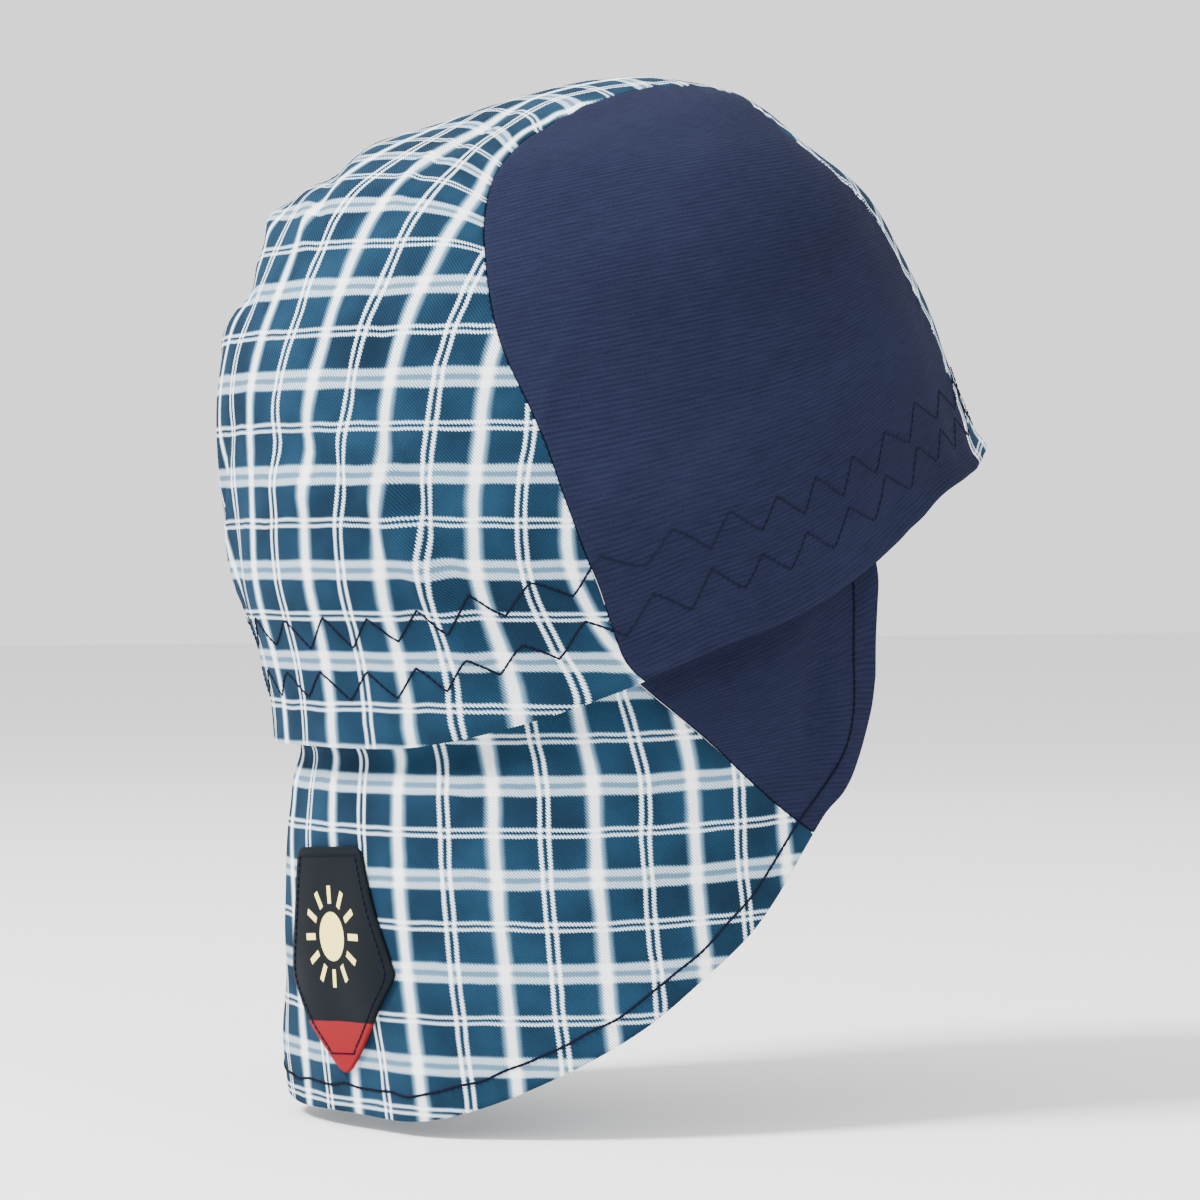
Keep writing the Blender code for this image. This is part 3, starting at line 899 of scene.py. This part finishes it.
@dataclass
class Crown:
    """The three panels of the crown and the two zigzag rows at its rim."""

    plaid: bpy.types.Material
    navy: bpy.types.Material
    dark_thread: bpy.types.Material
    navy_thread: bpy.types.Material
    steps: int = 240
    strip_columns: int = 130
    side_rows: int = 80
    seam_roll: float = 0.45 * MM
    seam_gap: float = 0.06 * MM
    zigzag_rows: tuple[float, float] = (0.0285, 0.0152)
    zigzag_half: float = 0.0034
    zigzag_length: float = 0.0158
    zigzag_climb: float = 0.47
    zigzag_start: float = 0.35
    zigzag_offset: float = 0.45
    zigzag_drift: float = 0.14
    zigzag_uneven: float = 0.12
    plaid_radius: float = 0.32 * MM
    navy_radius: float = 0.27 * MM
    dash_reach: float = 0.090
    dash_narrowing: float = 0.15
    dash_top: float = 0.12
    rib_slope: float = 0.25
    rib_reach: float = 0.085
    rib_turn: float = 0.085
    rib_middle: float = 1.66
    level_from: float = 0.20
    level_over: float = 0.24
    spread: float = 0.2
    spread_from: float = 0.048

    # Height of the zigzag rows, as a share of their height at the nape
    ROWS = table(
        "azimuth share",
        (0, 1.00), (70, 1.00), (95, 0.86), (110, 0.74), (135, 0.66), (180, 0.64),
    )

    # How far the plaid's lines wander sideways, by distance along the back centre line
    LEAN = table(
        "along shift",
        (-0.060, 0.0000), (0.000, -0.0060), (0.042, -0.0100), (0.062, -0.0010), (0.090, 0.0065),
        (0.110, 0.0070), (0.135, 0.0060), (0.160, 0.0030), (0.182, 0.0000), (0.205, -0.0040),
        (0.225, -0.0055), (0.245, -0.0085),
    )

    def build(self) -> None:
        """Build the panels and their threads."""
        self.centre_panel()
        for side in Side:
            self.side_panel(side)
        for number, above in enumerate(self.zigzag_rows):
            self.zigzag(number, above)

    def centre_line(self, count: int = 400) -> tuple[Grid, Grid]:
        """Height and length of the back centre line, from the top to the nape."""
        back = np.linspace(0, 1, count)
        line = FORM.smooth_crown(np.zeros(count), back)
        return line[:, 2], run_length(line, 0)

    def plaid_places(self, points: Grid, place: Grid) -> Grid:
        """The plaid's own coordinates on the centre panel.

        Args:
            points: rows from the forehead to the nape.
            place: each row's place, -1 to 1.

        Returns:
            Distance from the middle, and distance along the back centre line from the top.
        """
        length = run_length(points, 1)
        middle = length.shape[1] // 2
        u = length - length[:, middle : middle + 1]
        along = run_length(points[:, middle : middle + 1], 0)[:, 0]
        along = along - np.interp(0.0, place, along)
        height, distance = self.centre_line()
        level = np.interp(-points[..., 2], -height, distance)
        row = np.broadcast_to(along[:, None], u.shape)
        share = np.clip((place - self.level_from) / self.level_over, 0, 1)[:, None]
        v = row + (level - row) * ease(share)
        spread = self.spread * np.sign(u) * np.maximum(np.abs(u) - self.spread_from, 0)
        spread = spread * np.clip((v - 0.12) / 0.05, 0, 1)
        return np.stack([u - read(self.LEAN, "shift", v) - spread, v], -1)

    def centre_panel(self) -> None:
        """The plaid panel, from the forehead over the top to the nape."""
        half, along = FORM.seam_places(-1, self.steps, self.seam_gap + self.seam_roll)
        place = along / np.sqrt(1 - half**2)
        across = np.sin(
            np.arcsin(half[:, None]) * np.linspace(-1, 1, self.strip_columns + 1)
        )
        back = place[:, None] * np.sqrt(1 - across**2)
        outer = FORM.hemmed_crown(across, back)
        out = normals(FORM.smooth_crown, across, back)
        laid = self.plaid_places(FORM.dented_crown(across, back), place)
        cloth, roll = FORM.crown_cloth, self.seam_roll
        piece = Sheet("crown_centre_cloth", outer, out, laid, cloth, roll, self.plaid).build()
        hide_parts("crown_centre")

    def side_panel(self, side: Side) -> None:
        """A navy panel between the seam and the rim."""
        across, back = FORM.seam_places(1, self.steps, self.seam_gap + self.seam_roll)
        across, back = across[::-1], back[::-1]
        ends = np.arctan2(across[[0, -1]], back[[0, -1]])
        rim = np.linspace(ends[0], ends[1], self.steps + 1)
        out = np.linspace(0, 1, self.side_rows + 1)[:, None]
        across = side.value * (across + (np.sin(rim) - across) * out)
        back = back + (np.cos(rim) - back) * out
        if side is Side.LEFT:
            across, back = across[:, ::-1], back[:, ::-1]
        outer = FORM.hemmed_crown(across, back)
        azimuth = np.arctan2(np.abs(across), back)
        rise = FORM.rise(across, back)
        u = azimuth * (
            self.dash_reach - self.dash_narrowing * np.minimum(rise, self.dash_top)
        )
        slope = self.rib_slope * self.rib_reach * (azimuth - self.rib_middle)
        level = FORM.rim_height(azimuth) - slope
        v = rise + level * ease(np.clip(rise / self.rib_turn, 0, 1))
        out, laid = normals(FORM.smooth_crown, across, back), np.stack([u, v], -1)
        cloth, roll = FORM.crown_cloth, self.seam_roll
        node = f"crown_side_{side.name.lower()}"
        piece = Sheet(f"{node}_cloth", outer, out, laid, cloth, roll, self.navy).build()
        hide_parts(node)

    def zigzag(self, number: int, above: float) -> None:
        """A zigzag row round the crown, in parts that match the panel under each.

        Args:
            number: which row, from the top.
            above: height of the row's middle above the rim.
        """
        azimuth = np.radians(np.linspace(-180, 180, 4001))
        above = above * read(self.ROWS, "share", np.abs(np.degrees(azimuth)))
        line = FORM.smooth_crown(*on_ring(FORM.ring_above(azimuth, above), azimuth))
        length = run_length(line, 0)
        drift = self.zigzag_drift * ripple(length, 0 * length, 31 + number, 5, 0.04)
        phase = (length - length[len(length) // 2]) / self.zigzag_length
        phase = phase + self.zigzag_start + self.zigzag_offset * number + drift
        beat = phase - np.floor(phase)
        climb = self.zigzag_climb
        swing = np.where(beat < climb, beat / climb, (1 - beat) / (1 - climb))
        swing = np.sin((swing - 0.5) * 1.5) / np.sin(0.75)
        uneven = 1 + self.zigzag_uneven * ripple(length, 0 * length, 21 + number, 6, 0.012)
        height = above + self.zigzag_half * swing * uneven
        across, back = on_ring(FORM.ring_above(azimuth, height), azimuth)
        place = back / np.sqrt(1 - across**2)
        inside = np.abs(across) < read(FORM.SEAM, "half", place)
        on_plaid = (self.dark_thread, "plaid_twill", self.plaid_radius)
        on_navy = (self.navy_thread, "navy_twill", self.navy_radius)
        spans = {
            "back": (inside & (back > 0), on_plaid),
            "right": (~inside & (across > 0), on_navy),
            "left": (~inside & (across < 0), on_navy),
            "front_right": (inside & (back < 0) & (across > 0), on_plaid),
            "front_left": (inside & (back < 0) & (across <= 0), on_plaid),
        }
        for name, (chosen, (finish, slot, radius)) in spans.items():
            places = across[chosen], back[chosen]
            points, out = FORM.crown(*places), normals(FORM.smooth_crown, *places)
            Stitching(f"zigzag_{number + 1}_{name}", points, out, finish, slot, radius).build()


@dataclass
class NeckFlap:
    """The three panels of the neck flap, and its hem stitching."""

    plaid: bpy.types.Material
    navy: bpy.types.Material
    dark_thread: bpy.types.Material
    rows: int = 90
    columns: int = 170
    wedge_columns: int = 56
    stitch_inset: float = 0.0066
    seam_roll: float = 0.45 * MM
    seam_gap: float = 0.06 * MM
    plaid_lean: float = 0.07
    lean_middle: float = 0.068
    plaid_rise: float = 3.5 * MM
    rise_from: float = 0.06
    rise_over: float = 0.08
    rib_reach: float = 0.08
    rib_level: float = 0.03
    sway: float = 0.35 * MM

    def build(self) -> None:
        """Build the panels and the stitching."""
        self.centre_panel()
        for side in Side:
            self.side_panel(side)
        self.hem_thread()

    def border(self, inset: float) -> tuple[Grid, Grid]:
        """A line that runs inside the flap's front edges and hem.

        Args:
            inset: its distance from them, in metres.

        Returns:
            Azimuth and drop of its points, from the wearer's left to right.
        """
        reach = np.linspace(0, 1, 300)
        scale = FORM.opening_width / 2
        across = np.radians(read(FORM.HEM, "azimuth", reach)) * scale
        low = FORM.flap_length * read(FORM.HEM, "drop", reach)
        up = np.linspace(1, 0, 120)[1:]
        across = np.concatenate([across, np.full(len(up), across[-1])])
        low = np.concatenate([low, low[-1] * up])
        line = np.stack([across, low], -1)
        line = np.concatenate([(line * (-1, 1))[:0:-1], line])
        run = unit(np.gradient(line, axis=0))
        line = line + np.stack([run[:, 1], -run[:, 0]], -1) * inset
        even = even_steps(line, 1600) * (len(line) - 1)
        index = np.arange(len(line))
        line = np.stack([np.interp(even, index, line[:, k]) for k in (0, 1)], -1)
        soft = np.ones(61) / 61
        inner = np.stack([np.convolve(line[:, k], soft, "valid") for k in (0, 1)], -1)
        return inner[:, 0] / scale, inner[:, 1]

    def hem_thread(self) -> None:
        """The dark topstitch inside the front edges and the hem."""
        azimuth, drop = self.border(self.stitch_inset)
        drop = drop + self.sway * ripple(azimuth, drop * 20, 17, 8, 0.10)
        points = FORM.flap(azimuth, drop)
        out = normals(FORM.smooth_flap, azimuth, drop)
        Stitching("hem_thread", points, out, self.dark_thread, "navy_twill").build()

    def edges(self, side: int) -> tuple[Grid, Grid]:
        """The flap's seam as a share across for each row.

        Args:
            side: -1 beside the centre panel, 1 beside a wedge.

        Returns:
            Shares down the flap, and the seam's share across at each.
        """
        down = np.linspace(0, 1, self.rows + 1)
        seam = np.full(self.rows + 1, FORM.flap_seam)

        def curve(value: Grid) -> Grid:
            """Points of the seam for shares across."""
            return FORM.flap(*FORM.flap_place(value, down))

        shift = FORM.edge_shift(curve, seam, self.seam_gap + self.seam_roll)
        return down, seam + side * shift

    def places(self, points: Grid, azimuth: Grid) -> Grid:
        """The plaid's own coordinates: level distance from the nape, and depth below it."""
        turn = np.linspace(0, 1, 16)[:, None, None] * azimuth
        depth = FORM.rim_height(turn) - points[..., 2]
        level = FORM.smooth_flap(turn, np.maximum(depth, 0))
        u = run_length(level, 0)[-1] * np.sign(azimuth)
        past = np.maximum(np.abs(u) - self.rise_from, 0) / self.rise_over
        rise = self.plaid_rise * past**2
        v = rise - points[..., 2]
        return np.stack([u - self.plaid_lean * (v - self.lean_middle), v], -1)

    def centre_panel(self) -> None:
        """The plaid panel, from its tucked edge to the hem."""
        down, seam = self.edges(-1)
        across = seam[:, None] * np.linspace(-1, 1, self.columns + 1)
        azimuth, drop = FORM.flap_place(across, down[:, None])
        outer = FORM.flap(azimuth, drop)
        out, laid = normals(FORM.smooth_flap, azimuth, drop), self.places(outer, azimuth)
        cloth, roll = FORM.flap_cloth, self.seam_roll
        piece = Sheet("flap_centre_cloth", outer, out, laid, cloth, roll, self.plaid).build()
        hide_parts("flap_centre")

    def side_panel(self, side: Side) -> None:
        """The navy wedge in front of the flap's seam."""
        down, seam = self.edges(1)
        share = np.linspace(0, 1, self.wedge_columns + 1)
        across = side.value * (seam[:, None] + (1 - seam[:, None]) * share)
        down = down[:, None] + 0 * across
        if side is Side.LEFT:
            across, down = across[:, ::-1], down[:, ::-1]
        azimuth, drop = FORM.flap_place(across, down)
        outer = FORM.flap(azimuth, drop)
        low = FORM.rim_height(azimuth)
        near = bell(np.maximum(drop, 0) / self.rib_level)
        v = outer[..., 2] - low * near
        u = np.abs(azimuth) * self.rib_reach
        out, laid = normals(FORM.smooth_flap, azimuth, drop), np.stack([u, v], -1)
        cloth, roll = FORM.flap_cloth, self.seam_roll
        node = f"flap_side_{side.name.lower()}"
        piece = Sheet(f"{node}_cloth", outer, out, laid, cloth, roll, self.navy).build()
        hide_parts(node)


@dataclass
class Patch:
    """The sewn patch behind the neck."""

    finish: bpy.types.Material
    thread: bpy.types.Material
    height: float = 0.058
    width: float = 0.050
    thickness: float = 1.3 * MM
    drop: float = 0.027
    aside: float = 0.004
    lean: float = 3.5
    gap: float = 0.25 * MM
    rows: int = 60
    columns: int = 40
    inset: float = 2.0 * MM
    edge_roll: float = 0.3 * MM
    thread_radius: float = 0.24 * MM

    # Place from the top edge to the point, and half the width, as shares
    SIDES = table(
        "down half",
        (0.00, 0.54), (0.012, 0.60), (0.035, 0.635), (0.54, 0.985), (0.57, 0.995),
        (0.60, 0.945), (0.78, 0.595), (0.955, 0.17), (0.985, 0.10), (1.00, 0.03),
    )

    def lay(self, aside: Grid, below: Grid) -> tuple[Grid, Grid]:
        """Lay flat places of the patch on the flap.

        Args:
            aside: distance from the patch's middle line.
            below: distance from its top edge.

        Returns:
            Points on the patch's underside and their normals.
        """
        lean = math.radians(self.lean)
        middle = self.height / 2
        turned = aside * math.cos(lean) + (below - middle) * math.sin(lean)
        drop = self.drop + middle + (below - middle) * math.cos(lean) - aside * math.sin(lean)
        azimuth = (self.aside + turned) / (FORM.opening_width / 2)
        out = normals(FORM.flap, azimuth, drop)
        return FORM.flap(azimuth, drop) + out * self.gap, out

    def build(self) -> None:
        """Build the patch and its stitching."""
        rows = np.linspace(0, 1, self.rows + 1)
        half = np.interp(rows, self.SIDES["down"], self.SIDES["half"]) * self.width / 2
        half = half - self.edge_roll
        aside = np.maximum(half, self.edge_roll)[:, None] * np.linspace(-1, 1, self.columns + 1)
        below = (rows * self.height)[:, None] + 0 * aside
        under, out = self.lay(aside, below)
        outer, laid = under + out * self.thickness, np.stack([aside, below], -1)
        cloth, roll = self.thickness, self.edge_roll
        piece = Sheet("flap_patch_cloth", outer, out, laid, cloth, roll, self.finish).build()
        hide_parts("flap_patch")
        self.border_thread()

    def border_thread(self) -> None:
        """The stitching that holds the patch, inside its edge."""
        below = np.linspace(self.inset, self.height - 2.4 * self.inset, 260)
        share = below / self.height
        half = np.interp(share, self.SIDES["down"], self.SIDES["half"]) * self.width / 2
        half = np.convolve(np.pad(half, 12, "edge"), np.ones(25) / 25, "valid")
        half = np.maximum(half - 1.15 * self.inset, 0.2 * MM)
        top = np.linspace(-half[0], half[0], 60)
        aside = np.concatenate([top, half[1:], -half[:0:-1], top[:1]])
        down = np.concatenate([0 * top + below[0], below[1:], below[:0:-1], below[:1]])
        under, out = self.lay(aside, down)
        points = under + out * self.thickness
        Stitching("patch_thread", points, out, self.thread, "patch", self.thread_radius).build()


@dataclass(frozen=True)
class Studio:
    """A pale floor, soft light and the photograph's viewpoint."""

    turn: float = 57.0
    height: float = 0.5
    distance: float = 1.2
    lens: float = 133.3
    aside: float = -6.75 * MM
    above: float = -2.7 * MM
    floor: float = -0.139
    air: float = 1.5

    # Name, place to the right, above and towards the camera, size and watts of each light
    lights: tuple = (
        ("key", (-1.1, 1.4, 0.7), 0.5, 100),
        ("fill", (1.0, 0.8, 1.2), 0.9, 14),
        ("top", (0.0, 1.7, 0.4), 0.8, 3),
        ("back", (0.0, 0.9, -1.3), 1.2, 3),
    )

    def build(self) -> None:
        """Build the floor, the lights and the camera."""
        bpy.ops.object.select_all(action="DESELECT")
        bpy.ops.mesh.primitive_plane_add(size=12, location=(0, 0, self.floor))
        ground = bpy.context.object
        ground.name = "studio_floor"
        paper = Finish("studio_paper", 0.9, (0.86, 0.86, 0.86))
        ground.data.materials.append(paper.material)
        world = bpy.data.worlds.new("studio_air")
        world.use_nodes = True
        sky = world.node_tree.nodes["Background"]
        sky.inputs["Color"].default_value = (1, 1, 1, 1)
        sky.inputs["Strength"].default_value = self.air
        bpy.context.scene.world = world
        turn, tip = math.radians(self.turn), math.radians(self.height)
        toward = Vector(
            (-math.sin(turn) * math.cos(tip), math.cos(turn) * math.cos(tip), math.sin(tip))
        )
        right = Vector((-math.cos(turn), -math.sin(turn), 0))
        up = toward.cross(right)
        for name, (aside, above, near), size, power in self.lights:
            self.light(name, right * aside + up * above + toward * near, size, power)
        lens = bpy.data.cameras.new("photo_view")
        lens.lens = self.lens
        lens.sensor_width = 36
        camera = bpy.data.objects.new("photo_view", lens)
        aim = right * self.aside + up * self.above
        place = Matrix((right, up, toward)).transposed().to_4x4()
        place.translation = aim + toward * self.distance
        camera.matrix_world = place
        bpy.context.scene.collection.objects.link(camera)
        bpy.context.scene.camera = camera

    def light(self, name: str, place: Vector, size: float, power: float) -> None:
        """A soft square light that faces the cap."""
        lamp = bpy.data.lights.new(name, "AREA")
        lamp.size = size
        lamp.energy = power
        made = bpy.data.objects.new(name, lamp)
        made.location = place
        made.rotation_euler = place.to_track_quat("Z", "Y").to_euler()
        bpy.context.scene.collection.objects.link(made)


def main() -> None:
    """Dress the cap and set the studio up."""
    logging.basicConfig(level=logging.INFO, format="%(name)s: %(message)s")
    crown_plaid = PlaidTwill("crown_plaid", 24.6 * MM, 24.2 * MM, -3.6 * MM, 10.2 * MM).build()
    flap_plaid = PlaidTwill("flap_plaid", 25.7 * MM, 23.7 * MM, 3.9 * MM, 49.0 * MM).build()
    navy = NavyTwill("navy_twill").build()
    dark = Thread("dark_thread", srgb(9, 13, 28)).build()
    tone = Thread("navy_thread", srgb(16, 20, 35)).build()
    Crown(crown_plaid, navy, dark, tone).build()
    NeckFlap(flap_plaid, navy, dark).build()
    badge = PatchPrint("patch_print").build()
    Patch(badge, dark).build()
    Studio().build()


if __name__ == "__main__":
    main()
